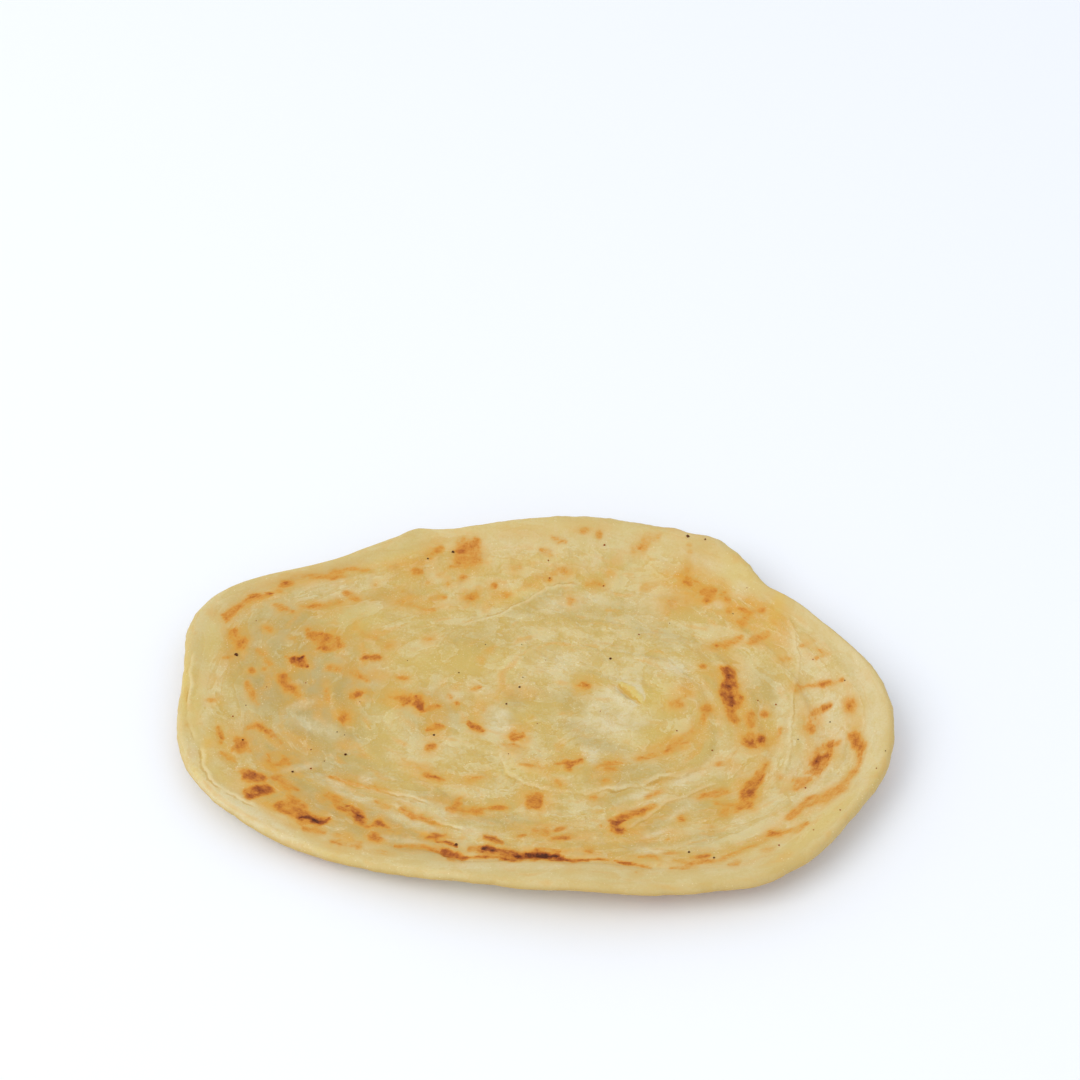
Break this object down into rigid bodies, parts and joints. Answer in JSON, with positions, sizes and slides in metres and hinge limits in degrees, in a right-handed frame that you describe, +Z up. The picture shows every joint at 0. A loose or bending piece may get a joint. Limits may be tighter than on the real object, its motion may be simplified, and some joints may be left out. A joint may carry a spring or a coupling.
{
  "type": "spiral flatbread",
  "caption": "Oval coiled flaky flatbread with a layered, brown-spotted top, a smooth pale border and a gently raised rim, eaten torn by hand or with a dip.",
  "frame": {"origin": "middle of the bread's box seen from above, on the surface that it lies on", "axes": "+X along the bread's length, +Y towards its highest edge, +Z up"},
  "size_m": [0.2232, 0.1494, 0.0182],
  "materials": {
    "baked_dough": "pan-fried wheat dough, pale yellow with golden and brown spots, slightly oily, soft sheen"
  },
  "bodies": {
    "root": {"flatbread": "baked_dough"}
  },
  "joints": []
}
